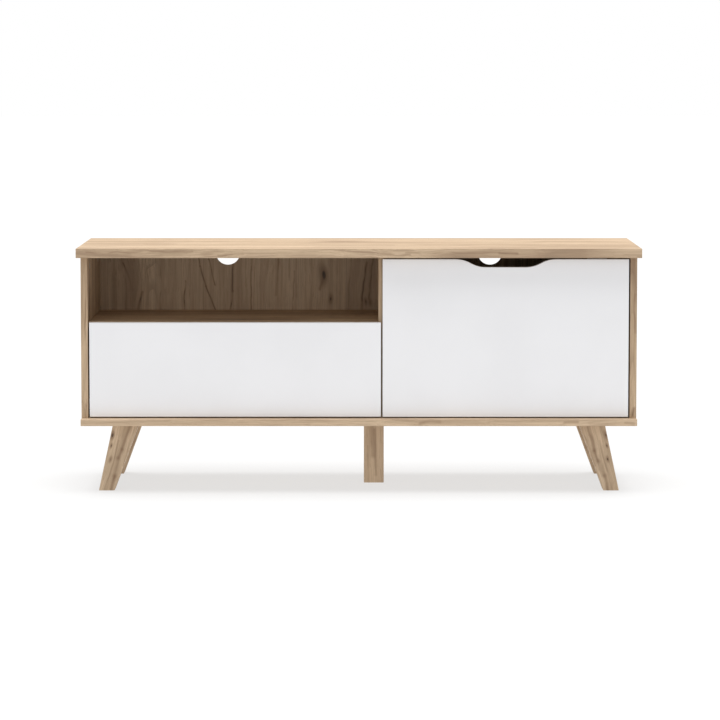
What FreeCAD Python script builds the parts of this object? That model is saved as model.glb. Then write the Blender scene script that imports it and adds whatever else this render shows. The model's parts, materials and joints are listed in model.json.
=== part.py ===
import math
import os
import re

import FreeCAD
import Part
import Sketcher
from FreeCAD import Placement, Rotation, Vector

# A low TV stand in board construction, in millimetres. +X is the right-hand end, the front
# faces -Y and +Z is up. The origin is on the floor under the middle of the top panel.

SIZES = {
    # overall
    "top_width": 1330, "top_depth": 400, "height": 580,
    "top_thickness": 22, "board": 16, "back_board": 3,
    # carcass
    "leg_height": 161, "side_overhang": 9, "front_setback": 25, "rear_setback": 25,
    "divider_middle": 54, "inner_setback": 20, "shelf_under": 388,
    # gaps round the fronts
    "side_gap": 3.5, "bottom_gap": 3, "front_overlap": 6, "flap_top_gap": 4.5, "drawer_top_gap": 0.5,
    # finger notch in the flap
    "notch_flat": 94, "notch_run": 72, "notch_depth": 19,
    # cable notches in the back
    "cable_offset": 324, "cable_radius": 30, "cable_depth": 42.3, "back_inset": 2, "back_joint": 0.5,
    "strip_width": 20, "strip_thickness": 1.5,
    # legs
    "leg_top_outer": 583.5, "leg_top_inner": 521.5, "leg_foot_outer": 618, "leg_foot_inner": 581,
    "leg_thickness": 40, "front_leg_middle": 131, "rear_leg_middle": 149,
    "post_left": 12, "post_width": 48, "post_depth": 45,
    "glide_height": 1, "glide_radius": 9,
    # boring and fasteners
    "clearance": 0.05, "joint_row": 110, "dowel_row": 140,
    "confirmat_radius": 3.5, "confirmat_length": 50, "confirmat_head": 5, "head_sink": 3,
    "leg_screw_drop": 556, "leg_screw_row": 10,
    "cam_radius": 7.5, "cam_depth": 12.5, "cam_setback": 24, "drawer_cam_depth": 10.5,
    "cam_slot": 1.4, "cam_slot_depth": 2, "cam_slot_reach": 4.5,
    "bolt_radius": 3, "bolt_bite": 11,
    "dowel_radius": 4, "dowel_short": 10, "dowel_long": 20,
    "nail_radius": 0.7, "nail_length": 22, "nail_head": 2.2, "nail_head_height": 0.8,
    "nail_pitch": 154,
    "screw_radius": 1.75, "screw_length": 12, "screw_head": 3.5, "screw_head_height": 1,
    # drawer
    "drawer_length": 300, "drawer_board": 12, "drawer_height": 130, "drawer_floor": 19,
    "runner_gap": 12.5, "drawer_base": 3, "base_rise": 12, "groove": 6, "groove_play": 0.1,
    "drawer_screw_radius": 2, "drawer_screw_length": 40,
    # roller runners
    "runner_sheet": 1.2, "runner_start": 152, "runner_length": 298,
    "rail_foot": 196.2, "rail_head": 219.9, "rail_flange": 10, "rail_lip": 6,
    "track_foot": 194.8, "track_top": 217.2, "track_tongue": 2.5, "track_shelf": 24.5,
    "roller_radius": 9, "roller_level": 206.7, "roller_thickness": 6.3,
    "roller_setback": 12, "roller_pin": 2, "roller_bore": 2.08,
    "rail_roller_gap": 3, "track_roller_gap": 4, "pin_head": 3.2, "pin_head_height": 0.7,
    "pin_end_play": 0.2, "runner_screw_pitch": 180, "runner_screw_level": 207,
    # push latch
    "latch_width": 18, "latch_height": 14, "latch_length": 74, "latch_start": 150,
    "latch_ear": 8, "latch_ear_sheet": 2, "latch_ear_length": 30,
    "plunger_radius": 3, "plunger_length": 62, "plunger_tip_radius": 5, "plunger_tip": 3,
    "plunger_play": 0.1, "touch_gap": 0.3, "strike_radius": 8, "strike_sheet": 1,
    # flap hinges
    "axis_inset": 7, "axis_rise": 8.5, "hinge_offset": 70, "knuckle_radius": 3.5,
    "hinge_arm": 12, "hinge_sheet": 3, "hinge_back": 20, "hinge_foot": 30, "hinge_foot_wide": 34,
    "foot_sheet": 2, "foot_screw": 11, "pin_radius": 1.5, "pin_play": 0.06, "pin_half": 9.5,
    "ear_gap": 0.4, "ear_sheet": 2.5, "ear_reach": 3.3, "ear_top": 11.3,
    "slot_half": 13, "slot_height": 20, "slot_depth": 13.2, "overcut": 1,
    "leaf_half": 20, "leaf_sheet": 1.5, "leaf_foot": 7.5, "leaf_height": 30, "leaf_screw": 12,
    # flap stay: a parallelogram of flap, two arms and side panel
    "stay_out": 111, "stay_up": 49.5, "stay_door_out": 20, "stay_door_up": 113,
    "stay_sheet": 2, "stay_half": 6, "rivet_radius": 3, "rivet_bore": 3.08, "rivet_head": 5,
    "rivet_head_height": 1, "upper_arm_plane": 5, "lower_arm_plane": 7.5, "door_plate_plane": 10,
    "stay_plate_half": 18, "stay_plate_height": 56, "stay_flange": 20, "rivet_play": 0.1,
    "tab_margin": 4,
    # magnetic catch
    "catch_middle": 563, "catch_width": 46, "catch_block": 14, "catch_ear": 8, "catch_ear_sheet": 2,
    "catch_gap": 0.5, "catch_plate_width": 40, "catch_plate_height": 12, "catch_plate_drop": 2,
    "catch_sheet": 1.2,
}

# Heights and places that many pieces share, written once in terms of the sizes above.
HALF = "(top_width / 2)"
CARCASS = "(top_width / 2 - side_overhang)"
BAY_END = "(top_width / 2 - side_overhang - board)"
FRONT_EDGE = "(-top_depth / 2)"
FRONT = "(-top_depth / 2 + front_setback)"
REAR = "(top_depth / 2 - rear_setback)"
INNER_FRONT = "(-top_depth / 2 + front_setback + inner_setback)"
FRONT_BACK = "(-top_depth / 2 + front_setback + board)"
FLOOR = "(leg_height + board)"
UNDER_TOP = "(height - top_thickness)"
DIVIDER_LEFT = "(divider_middle - board / 2)"
DIVIDER_RIGHT = "(divider_middle + board / 2)"
SIDE_MIDDLE = "(top_width / 2 - side_overhang - board / 2)"
SHELF_TOP = "(shelf_under + board)"
FLAP_LEFT = "(divider_middle + board / 2 - front_overlap)"
FLAP_RIGHT = "(top_width / 2 - side_overhang - board - side_gap)"
FLAP_TOP = "(height - top_thickness - flap_top_gap)"
FRONTS_BOTTOM = "(leg_height + board + bottom_gap)"
DRAWER_BOX_LEFT = "(-top_width / 2 + side_overhang + board + runner_gap)"
DRAWER_BOX_RIGHT = "(divider_middle - board / 2 - runner_gap)"
DRAWER_FOOT = "(leg_height + board + drawer_floor)"
DRAWER_REAR = "(-top_depth / 2 + front_setback + board + drawer_length)"
BAY_MIDDLE = "((divider_middle - board / 2 - (top_width / 2 - side_overhang - board)) / 2)"
AXIS_Y = "(-top_depth / 2 + front_setback + axis_inset)"
AXIS_Z = "(leg_height + board + bottom_gap + axis_rise)"
STAY_A = ("(-top_depth / 2 + front_setback + axis_inset + stay_out)",
          "(leg_height + board + bottom_gap + axis_rise + stay_up)")

TURNS = {
    "+x": Rotation(Vector(1, 1, 1), 120), "-x": Rotation(Vector(0, 1, 0), -90),
    "+y": Rotation(Vector(1, 0, 0), -90), "-y": Rotation(Vector(1, 0, 0), 90),
    "+z": Rotation(), "-z": Rotation(Vector(1, 0, 0), 180),
}

OPPOSITE = {"+x": "-x", "-x": "+x", "+y": "-y", "-y": "+y", "+z": "-z", "-z": "+z"}

# How many nails hold the back to each side panel.
SIDE_NAILS = 4

# Per normal: the origin plane, and whether its own normal runs along + or - the axis.
PLANES = {"x": ("YZ_Plane", 1), "y": ("XZ_Plane", -1), "z": ("XY_Plane", 1)}

doc = FreeCAD.newDocument("TvStand")
sheet = doc.addObject("Spreadsheet::Sheet", "Sizes")
nodes = []
bores = []


def fill_sheet():
    for row, (alias, size) in enumerate(SIZES.items(), start=1):
        sheet.set("A%d" % row, alias)
        sheet.set("B%d" % row, str(size))
        sheet.setAlias("B%d" % row, alias)
    doc.recompute()


def formula(text):
    """A formula in plain size names, rewritten to refer to the sheet."""
    return re.sub(r"[a-z][a-z_]+", lambda name: "Sizes." + name.group(), str(text))


def value(text):
    return float(sheet.evalExpression(formula(text)))


def bind(thing, **formulas):
    for name, text in formulas.items():
        thing.setExpression(name, formula(text))


def place(thing, x, y, z):
    for letter, text in zip("xyz", (x, y, z)):
        thing.setExpression("Placement.Base." + letter, formula(text))


def node(thing):
    """Mark an object as one of the stand's own pieces, which gets a file."""
    nodes.append(thing)
    return thing


def box(label, low, high):
    thing = doc.addObject("Part::Box", label)
    spans = ["(%s) - (%s)" % pair for pair in zip(high, low)]
    bind(thing, Length=spans[0], Width=spans[1], Height=spans[2])
    place(thing, *low)
    return thing


def rod(label, start, direction, radius, length):
    thing = doc.addObject("Part::Cylinder", label)
    thing.Placement = Placement(Vector(), TURNS[direction])
    bind(thing, Radius=radius, Height=length)
    place(thing, *start)
    return thing


def fuse(label, *pieces):
    thing = doc.addObject("Part::MultiFuse", label)
    thing.Shapes = list(pieces)
    return thing


def group(label, pieces):
    thing = doc.addObject("Part::Compound", label)
    thing.Links = list(pieces)
    return thing


def cut(label, base, tools):
    tool = tools[0] if len(tools) == 1 else fuse(label + "_cuts", *tools)
    thing = doc.addObject("Part::Cut", label)
    thing.Base = base
    thing.Tool = tool
    return thing


def bored(label, blank):
    """The blank with every bore that reaches into it."""
    doc.recompute()
    tools = [bore for bore in bores if blank.Shape.common(bore.Shape).Volume > 1e-3]
    return node(cut(label, blank, tools))


def corner_point(corner):
    return Vector(value(corner[0]), value(corner[1]), 0)


def arc_edge(start, end, radius):
    """The short arc from start to end: it turns left for a positive radius, right for a negative one."""
    chord = end - start
    rise = math.sqrt(max(radius * radius - chord.Length * chord.Length / 4, 0))
    left = Vector(-chord.y, chord.x, 0).normalize()
    centre = (start + end) * 0.5 + left * math.copysign(rise, radius)
    first, last = (start, end) if radius > 0 else (end, start)
    circle = Part.Circle(centre, Vector(0, 0, 1), abs(radius))
    return Part.ArcOfCircle(circle, circle.parameter(first), circle.parameter(last))


def fix_point(sketch, edge, end, corner):
    """Hold one point of the sketch at the place its two formulas give."""
    for kind, text, size in zip(("DistanceX", "DistanceY"), corner, corner_point(corner)):
        index = sketch.addConstraint(Sketcher.Constraint(kind, -1, 1, edge, end, size))
        sketch.setExpression("Constraints[%d]" % index, formula(text))


def fix_radius(sketch, edge, radius):
    index = sketch.addConstraint(Sketcher.Constraint("Radius", edge, abs(value(radius))))
    size = formula("abs(%s)" % radius).replace("Sizes.abs", "abs")
    sketch.setExpression("Constraints[%d]" % index, size)


def draw_outline(sketch, corners):
    """A closed outline. A corner's third entry is the signed radius of the edge that leaves it."""
    ends = []
    for number, corner in enumerate(corners):
        start = corner_point(corner)
        end = corner_point(corners[(number + 1) % len(corners)])
        if len(corner) == 2:
            edge = sketch.addGeometry(Part.LineSegment(start, end), False)
            ends.append((edge, 1, 2))
            continue
        radius = value(corner[2])
        edge = sketch.addGeometry(arc_edge(start, end, radius), False)
        fix_radius(sketch, edge, corner[2])
        ends.append((edge, 1, 2) if radius > 0 else (edge, 2, 1))
    for number, (edge, first, _) in enumerate(ends):
        before, _, last = ends[number - 1]
        sketch.addConstraint(Sketcher.Constraint("Coincident", before, last, edge, first))
        fix_point(sketch, edge, first, corners[number][:2])


def draw_circle(sketch, centre, radius):
    circle = Part.Circle(corner_point(centre), Vector(0, 0, 1), value(radius))
    edge = sketch.addGeometry(circle, False)
    fix_radius(sketch, edge, radius)
    fix_point(sketch, edge, 3, centre)


def plate(label, normal, start, thickness, outline=(), circles=()):
    """A body padded from one sketch, standing along the normal from start."""
    body = doc.addObject("PartDesign::Body", label)
    role, sense = PLANES[normal]
    sketch = body.newObject("Sketcher::SketchObject", label + "_outline")
    sketch.AttachmentSupport = ([plane for plane in body.Origin.OriginFeatures if plane.Role == role][0], "")
    sketch.MapMode = "FlatFace"
    offset = start if sense > 0 else "-(%s) - (%s)" % (start, thickness)
    sketch.setExpression("AttachmentOffset.Base.z", formula(offset))
    if outline:
        draw_outline(sketch, outline)
    for centre, radius in circles:
        draw_circle(sketch, centre, radius)
    pad = body.newObject("PartDesign::Pad", label + "_pad")
    pad.Profile = sketch
    bind(pad, Length=thickness)
    return body


def bore(label, start, direction, radius, depth):
    bores.append(rod(label, start, direction, "%s + clearance" % radius, depth))


def step_back(start, direction, distance):
    """The place that lies the distance behind start, against the direction."""
    moved = list(start)
    axis = "xyz".index(direction[1])
    sign = "-" if direction[0] == "+" else "+"
    moved[axis] = "%s %s (%s)" % (moved[axis], sign, distance)
    return tuple(moved)


def cam_bolt(label, start, direction):
    """A plain bolt that starts at a cam's rim. Its bore runs on into the middle of the cam's seat."""
    shank = "cam_setback - cam_radius - clearance + bolt_bite"
    lead = "cam_radius + clearance"
    bore(label + "_bore", step_back(start, direction, lead), direction, "bolt_radius",
         "%s + %s" % (shank, lead))
    return rod(label, start, direction, "bolt_radius", shank)


def fastener(label, start, direction, radius, length, head=None, head_height=None, proud=False):
    """A headed fastener pointing along direction, and the bore it sits in. Its head's underside is
    at start if the head stands proud, and its head's top is there if not."""
    shank = rod(label + "_shank", start, direction, radius, length)
    bore(label + "_bore", start, direction, radius, length)
    if head is None:
        return shank
    if proud:
        return fuse(label, shank, rod(label + "_head", start, OPPOSITE[direction], head, head_height))
    bore(label + "_sink", start, direction, head, head_height)
    return fuse(label, shank, rod(label + "_head", start, direction, head, head_height))


def fitting_screw(label, start, direction):
    return fastener(label, start, direction, "screw_radius", "screw_length",
                    "screw_head", "screw_head_height", proud=True)


def cam_lock(label, centre, direction, depth):
    """A cam disc let into a board's face, with a cross slot in the disc for the screwdriver."""
    disc = rod(label + "_disc", centre, direction, "cam_radius", depth)
    bore(label + "_seat", centre, direction, "cam_radius", depth)
    slots = []
    for name, turn in (("a", 0), ("b", 90)):
        slot = doc.addObject("Part::Box", "%s_slot_%s" % (label, name))
        bind(slot, Length="2 * cam_slot_reach", Width="cam_slot", Height="cam_slot_depth")
        spin = TURNS[direction].multiply(Rotation(Vector(0, 0, 1), turn))
        middle = Vector(value("cam_slot_reach"), value("cam_slot / 2"), 0)
        base = Vector(*[value(text) for text in centre]) - spin.multVec(middle)
        slot.Placement = Placement(base, spin)
        slots.append(slot)
    return cut(label, disc, slots)


def carcass_fasteners():
    rows = ("-joint_row", "joint_row")
    uprights = [("left", "-" + SIDE_MIDDLE), ("divider", "divider_middle"), ("right", SIDE_MIDDLE)]
    screws, cams, bolts, dowels = [], [], [], []
    for side, x in uprights:
        for end, y in enumerate(rows):
            screws.append(fastener("carcass_screw_%s_%d" % (side, end), (x, y, "leg_height"), "+z",
                                   "confirmat_radius", "confirmat_length", "confirmat_head", "head_sink"))
            low = "height - top_thickness - cam_setback + cam_radius + clearance"
            bolts.append(cam_bolt("cam_bolt_%s_%d" % (side, end), (x, y, low), "+z"))
        for end, y in enumerate(("-dowel_row", "dowel_row")):
            start = (x, y, UNDER_TOP + " - dowel_long")
            dowels.append(fastener("dowel_%s_%d" % (side, end), start, "+z", "dowel_radius",
                                   "dowel_long + dowel_short"))
    faces = [("left", "-" + BAY_END, "-x"), ("divider", DIVIDER_RIGHT, "-x"), ("right", BAY_END, "+x")]
    for side, x, direction in faces:
        for end, y in enumerate(rows):
            centre = (x, y, "height - top_thickness - cam_setback")
            cams.append(cam_lock("cam_%s_%d" % (side, end), centre, direction, "cam_depth"))
    shelf_middle = "shelf_under + board / 2"
    shelf_ends = [("left", "-" + BAY_END, "-x", "+"), ("right", DIVIDER_LEFT, "+x", "-")]
    for side, x, direction, inward in shelf_ends:
        for end, y in enumerate(rows):
            centre = ("%s %s cam_setback" % (x, inward), y, "shelf_under")
            cams.append(cam_lock("shelf_cam_%s_%d" % (side, end), centre, "+z", "cam_depth"))
            rim = "%s %s (cam_setback - cam_radius - clearance)" % (x, inward)
            bolts.append(cam_bolt("shelf_bolt_%s_%d" % (side, end), (rim, y, shelf_middle), direction))
        for end, y in enumerate(("-dowel_row", "dowel_row")):
            start = ("%s %s dowel_long" % (x, inward), y, shelf_middle)
            dowels.append(fastener("shelf_dowel_%s_%d" % (side, end), start, direction, "dowel_radius",
                                   "dowel_long + dowel_short"))
    node(group("carcass_screws", screws))
    node(group("cam_locks", cams))
    node(group("cam_bolts", bolts))
    node(group("wood_dowels", dowels))


def leg_fasteners():
    legs = [("front_left", "-leg_screw_drop", "-front_leg_middle"),
            ("front_right", "leg_screw_drop", "-front_leg_middle"),
            ("rear_left", "-leg_screw_drop", "rear_leg_middle"),
            ("rear_right", "leg_screw_drop", "rear_leg_middle"),
            ("centre", "post_left + post_width / 3", "0")]
    screws = []
    for name, x, y in legs:
        for end, sign in enumerate("-+"):
            start = (x, "%s %s leg_screw_row" % (y, sign), FLOOR)
            screws.append(fastener("leg_screw_%s_%d" % (name, end), start, "-z", "confirmat_radius",
                                   "confirmat_length", "confirmat_head", "head_sink"))
    node(group("leg_screws", screws))


def back_nails():
    """Nails through the back into the edges of the bottom panel and the two sides."""
    places = []
    for step in range(-4, 5):
        places.append(("%d * nail_pitch" % step, "leg_height + board / 2"))
    for step in range(1, SIDE_NAILS + 1):
        level = "%s + %d * (%s - %s) / %d" % (FLOOR, step, UNDER_TOP, FLOOR, SIDE_NAILS + 1)
        places.append(("-" + SIDE_MIDDLE, level))
        places.append((SIDE_MIDDLE, level))
    nails = []
    for number, (x, z) in enumerate(places):
        start = (x, REAR + " + back_board", z)
        nails.append(fastener("nail_%d" % number, start, "-y", "nail_radius", "nail_length",
                              "nail_head", "nail_head_height", proud=True))
    node(group("back_panel_nails", nails))


def carcass_boards():
    top = box("top_panel_blank", ("-" + HALF, FRONT_EDGE, UNDER_TOP), (HALF, "top_depth / 2", "height"))
    bored("top_panel", top)
    bottom = box("bottom_panel_blank", ("-" + CARCASS, FRONT_EDGE, "leg_height"), (CARCASS, REAR, FLOOR))
    bored("bottom_panel", bottom)
    left = box("left_side_blank", ("-" + CARCASS, FRONT, FLOOR), ("-" + BAY_END, REAR, UNDER_TOP))
    bored("left_side_panel", left)
    right = box("right_side_blank", (BAY_END, FRONT, FLOOR), (CARCASS, REAR, UNDER_TOP))
    bored("right_side_panel", right)
    divider = box("divider_blank", (DIVIDER_LEFT, INNER_FRONT, FLOOR), (DIVIDER_RIGHT, REAR, UNDER_TOP))
    bored("divider_panel", divider)
    shelf = box("niche_shelf_blank", ("-" + BAY_END, INNER_FRONT, "shelf_under"),
                (DIVIDER_LEFT, REAR, SHELF_TOP))
    bored("niche_shelf", shelf)


def back_panel(label, left, right, middle):
    """A thin board with a round-ended cable notch in its top edge."""
    foot = "leg_height + back_inset"
    brim = UNDER_TOP
    turn = "%s - cable_depth + cable_radius" % UNDER_TOP
    outline = [
        (left, foot), (right, foot), (right, brim),
        ("%s + cable_radius" % middle, brim),
        ("%s + cable_radius" % middle, turn, "-cable_radius"),
        (middle, "%s - cable_depth" % UNDER_TOP, "-cable_radius"),
        ("%s - cable_radius" % middle, turn),
        ("%s - cable_radius" % middle, brim),
        (left, brim),
    ]
    bored(label, plate(label + "_blank", "y", REAR, "back_board", outline))


def back():
    left, right = "-%s + back_inset" % CARCASS, "%s - back_inset" % CARCASS
    back_panel("back_panel_left", left, "divider_middle - back_joint", "-cable_offset")
    back_panel("back_panel_right", "divider_middle + back_joint", right, "cable_offset")
    rear = REAR + " + back_board"
    node(box("back_joint_strip", ("divider_middle - strip_width / 2", rear, "leg_height + back_inset"),
             ("divider_middle + strip_width / 2", rear + " + strip_thickness", UNDER_TOP)))


def legs():
    for side, sign in (("left", "-"), ("right", "")):
        outline = [(sign + "leg_foot_inner", "glide_height"), (sign + "leg_foot_outer", "glide_height"),
                   (sign + "leg_top_outer", "leg_height"), (sign + "leg_top_inner", "leg_height")]
        for end, middle in (("front", "-front_leg_middle"), ("rear", "rear_leg_middle")):
            label = "%s_%s_leg" % (end, side)
            start = middle + " - leg_thickness / 2"
            bored(label, plate(label + "_blank", "y", start, "leg_thickness", outline))
    post = box("centre_leg_blank", ("post_left", "-post_depth / 2", "glide_height"),
               ("post_left + post_width", "post_depth / 2", "leg_height"))
    bored("centre_leg", post)
    foot = "(leg_foot_outer + leg_foot_inner) / 2"
    places = [(sign + foot, y) for sign in ("-", "") for y in ("-front_leg_middle", "rear_leg_middle")]
    places.append(("post_left + post_width / 2", "0"))
    glides = []
    for number, (x, y) in enumerate(places):
        glides.append(rod("glide_%d" % number, (x, y, "0"), "+z", "glide_radius", "glide_height"))
    node(group("foot_glides", glides))


# The runners stand in the gap between the bay's wall and the drawer box. Depths across that gap
# are measured from the wall: (wall, sign that leads away from it, direction away, direction back).
RUNNER_WALLS = {
    "left": ("-" + BAY_END, "+", "+x", "-x"),
    "right": (DIVIDER_LEFT, "-", "-x", "+x"),
}


def across(side, depth):
    wall, sign, _, _ = RUNNER_WALLS[side]
    return "%s %s (%s)" % (wall, sign, depth)


def runner_profile(side, points):
    return [(across(side, depth), level) for depth, level in points]


def cabinet_runner(side):
    """A C-shaped rail on the bay's wall, open towards the drawer."""
    points = [("0", "rail_foot"), ("rail_flange", "rail_foot"),
              ("rail_flange", "rail_foot + runner_sheet"), ("runner_sheet", "rail_foot + runner_sheet"),
              ("runner_sheet", "rail_head - runner_sheet"), ("rail_lip", "rail_head - runner_sheet"),
              ("rail_lip", "rail_head"), ("0", "rail_head")]
    profile = runner_profile(side, points)
    bored(side + "_cabinet_runner",
          plate(side + "_rail_blank", "y", "-runner_start", "runner_length", profile))


def drawer_runner(side):
    """A track under the drawer's side: it carries the side and rides on the rail's roller."""
    web = "runner_gap - runner_sheet"
    points = [(web, "track_foot"), ("track_shelf", "track_foot"),
              ("track_shelf", "track_foot + runner_sheet"), ("runner_gap", "track_foot + runner_sheet"),
              ("runner_gap", "track_top"), ("track_tongue", "track_top"),
              ("track_tongue", "track_top - runner_sheet"), (web, "track_top - runner_sheet")]
    profile = runner_profile(side, points)
    bored(side + "_drawer_runner",
          plate(side + "_track_blank", "y", FRONT_BACK, "drawer_length", profile))


def roller(label, side, depth, y):
    """A plastic roller of the runner's own pair, with a bore that runs on its rivet."""
    low = depth if side == "left" else "%s + roller_thickness" % depth
    start = across(side, low)
    centre = (y, "roller_level")
    rims = [(centre, "roller_radius"), (centre, "roller_bore")]
    node(plate(label, "x", start, "roller_thickness", (), rims))


def runners():
    rail_rivets, track_rivets, rail_screws, track_screws = [], [], [], []
    rail_y = "-runner_start + roller_setback"
    track_y = DRAWER_REAR + " - roller_setback"
    for side, (_, _, away, back_way) in RUNNER_WALLS.items():
        roller(side + "_cabinet_roller", side, "rail_roller_gap", rail_y)
        roller(side + "_drawer_roller", side, "track_roller_gap", track_y)
        pin_end = "rail_roller_gap + roller_thickness + pin_end_play"
        rail_rivets.append(fuse(
            side + "_rail_rivet",
            rod(side + "_rail_pin", (across(side, "runner_sheet"), rail_y, "roller_level"), away,
                "roller_pin", pin_end + " - runner_sheet"),
            rod(side + "_rail_pin_head", (across(side, pin_end), rail_y, "roller_level"), away,
                "pin_head", "pin_head_height")))
        web = "runner_gap - runner_sheet"
        tip = "track_roller_gap - pin_end_play"
        track_rivets.append(fuse(
            side + "_track_rivet",
            rod(side + "_track_pin", (across(side, web), track_y, "roller_level"), back_way,
                "roller_pin", web + " - (%s)" % tip),
            rod(side + "_track_pin_head", (across(side, tip), track_y, "roller_level"), back_way,
                "pin_head", "pin_head_height")))
        for end, sign in enumerate("-+"):
            y = "%s runner_screw_pitch / 2" % sign
            start = (across(side, "runner_sheet"), y, "runner_screw_level")
            rail_screws.append(fitting_screw("%s_rail_screw_%d" % (side, end), start, back_way))
            start = (across(side, "runner_gap + drawer_board / 2"), y, "track_foot")
            track_screws.append(fitting_screw("%s_track_screw_%d" % (side, end), start, "+z"))
    node(group("cabinet_roller_rivets", rail_rivets))
    node(group("drawer_roller_rivets", track_rivets))
    for side in RUNNER_WALLS:
        cabinet_runner(side)
        drawer_runner(side)
    return rail_screws, track_screws


def drawer_fasteners():
    cams, bolts, screws = [], [], []
    levels = [DRAWER_FOOT + " + drawer_height / 4", DRAWER_FOOT + " + 3 * drawer_height / 4"]
    ends = [("left", DRAWER_BOX_LEFT, "+", "-x"), ("right", DRAWER_BOX_RIGHT, "-", "+x")]
    for side, outer, inward, outwards in ends:
        for number, z in enumerate(levels):
            centre = ("%s %s drawer_board" % (outer, inward), FRONT_BACK + " + cam_setback", z)
            cams.append(cam_lock("drawer_cam_%s_%d" % (side, number), centre, outwards, "drawer_cam_depth"))
            start = ("%s %s drawer_board / 2" % (outer, inward),
                     FRONT_BACK + " + cam_setback - cam_radius - clearance", z)
            bolts.append(cam_bolt("drawer_bolt_%s_%d" % (side, number), start, "-y"))
            start = (outer, DRAWER_REAR + " - drawer_board / 2", z)
            screws.append(fastener("drawer_back_screw_%s_%d" % (side, number), start,
                                   OPPOSITE[outwards], "drawer_screw_radius", "drawer_screw_length",
                                   "screw_head", "drawer_screw_radius"))
    node(group("drawer_front_cams", cams))
    node(group("drawer_front_bolts", bolts))
    node(group("drawer_back_screws", screws))


def drawer_boards():
    inner_left = DRAWER_BOX_LEFT + " + drawer_board"
    inner_right = DRAWER_BOX_RIGHT + " - drawer_board"
    base_low = DRAWER_FOOT + " + base_rise"
    low = (inner_left + " - groove", FRONT_BACK + " - groove", base_low)
    high = (inner_right + " + groove", DRAWER_REAR + " - drawer_board + groove",
            base_low + " + drawer_base")
    node(box("drawer_bottom", low, high))
    bores.append(box("drawer_groove", tuple(text + " - groove_play" for text in low),
                     tuple(text + " + groove_play" for text in high)))
    brim = DRAWER_FOOT + " + drawer_height"
    front = box("drawer_front_blank", ("-%s + side_gap" % BAY_END, FRONT, FRONTS_BOTTOM),
                (DIVIDER_LEFT + " + front_overlap", FRONT_BACK, SHELF_TOP + " - drawer_top_gap"))
    bored("drawer_front", front)
    left = box("drawer_left_blank", (DRAWER_BOX_LEFT, FRONT_BACK, DRAWER_FOOT),
               (inner_left, DRAWER_REAR, brim))
    bored("drawer_left_side", left)
    right = box("drawer_right_blank", (inner_right, FRONT_BACK, DRAWER_FOOT),
                (DRAWER_BOX_RIGHT, DRAWER_REAR, brim))
    bored("drawer_right_side", right)
    rear = box("drawer_back_blank", (inner_left, DRAWER_REAR + " - drawer_board", DRAWER_FOOT),
               (inner_right, DRAWER_REAR, brim))
    bored("drawer_back", rear)


def push_latch():
    """A push latch under the shelf: its sprung plunger touches a steel disc on the drawer front."""
    level = "shelf_under - latch_height / 2"
    half = "latch_width / 2"
    foot = "shelf_under - latch_height"
    body = box("latch_block", ("%s - %s" % (BAY_MIDDLE, half), "-latch_start", foot),
               ("%s + %s" % (BAY_MIDDLE, half), "-latch_start + latch_length", "shelf_under"))
    wing_y = "-latch_start + latch_length / 2"
    reach = "(latch_width / 2 + latch_ear)"
    wings = box("latch_wings",
                ("%s - %s" % (BAY_MIDDLE, reach), wing_y + " - latch_ear_length / 2",
                 "shelf_under - latch_ear_sheet"),
                ("%s + %s" % (BAY_MIDDLE, reach), wing_y + " + latch_ear_length / 2", "shelf_under"))
    tip_y = FRONT_BACK + " + strike_sheet + touch_gap"
    tip = (BAY_MIDDLE, tip_y, level)
    node(fuse("latch_plunger",
              rod("plunger_stem", tip, "+y", "plunger_radius", "plunger_length"),
              rod("plunger_tip_disc", tip, "+y", "plunger_tip_radius", "plunger_tip")))
    barrel = rod("latch_barrel", (BAY_MIDDLE, "-latch_start", level), "+y",
                 "plunger_radius + plunger_play", "latch_length - latch_ear")
    screws = []
    for end, sign in enumerate("-+"):
        start = ("%s %s (latch_width / 2 + latch_ear / 2)" % (BAY_MIDDLE, sign), wing_y,
                 "shelf_under - latch_ear_sheet")
        screws.append(fitting_screw("latch_screw_%d" % end, start, "+z"))
    bored("latch_housing", cut("latch_housing_blank", fuse("latch_solid", body, wings), [barrel]))
    strike = rod("latch_strike_blank", (BAY_MIDDLE, FRONT_BACK, level), "+y",
                 "strike_radius", "strike_sheet")
    strike_screw = fastener("latch_strike_screw", (BAY_MIDDLE, FRONT_BACK + " + strike_sheet", level),
                            "-y", "screw_radius", "screw_length", "screw_head", "strike_sheet / 2")
    bored("latch_strike_plate", strike)
    return screws, strike_screw


def hinge_centres():
    return {"left": FLAP_LEFT + " + hinge_offset", "right": FLAP_RIGHT + " - hinge_offset"}


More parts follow.
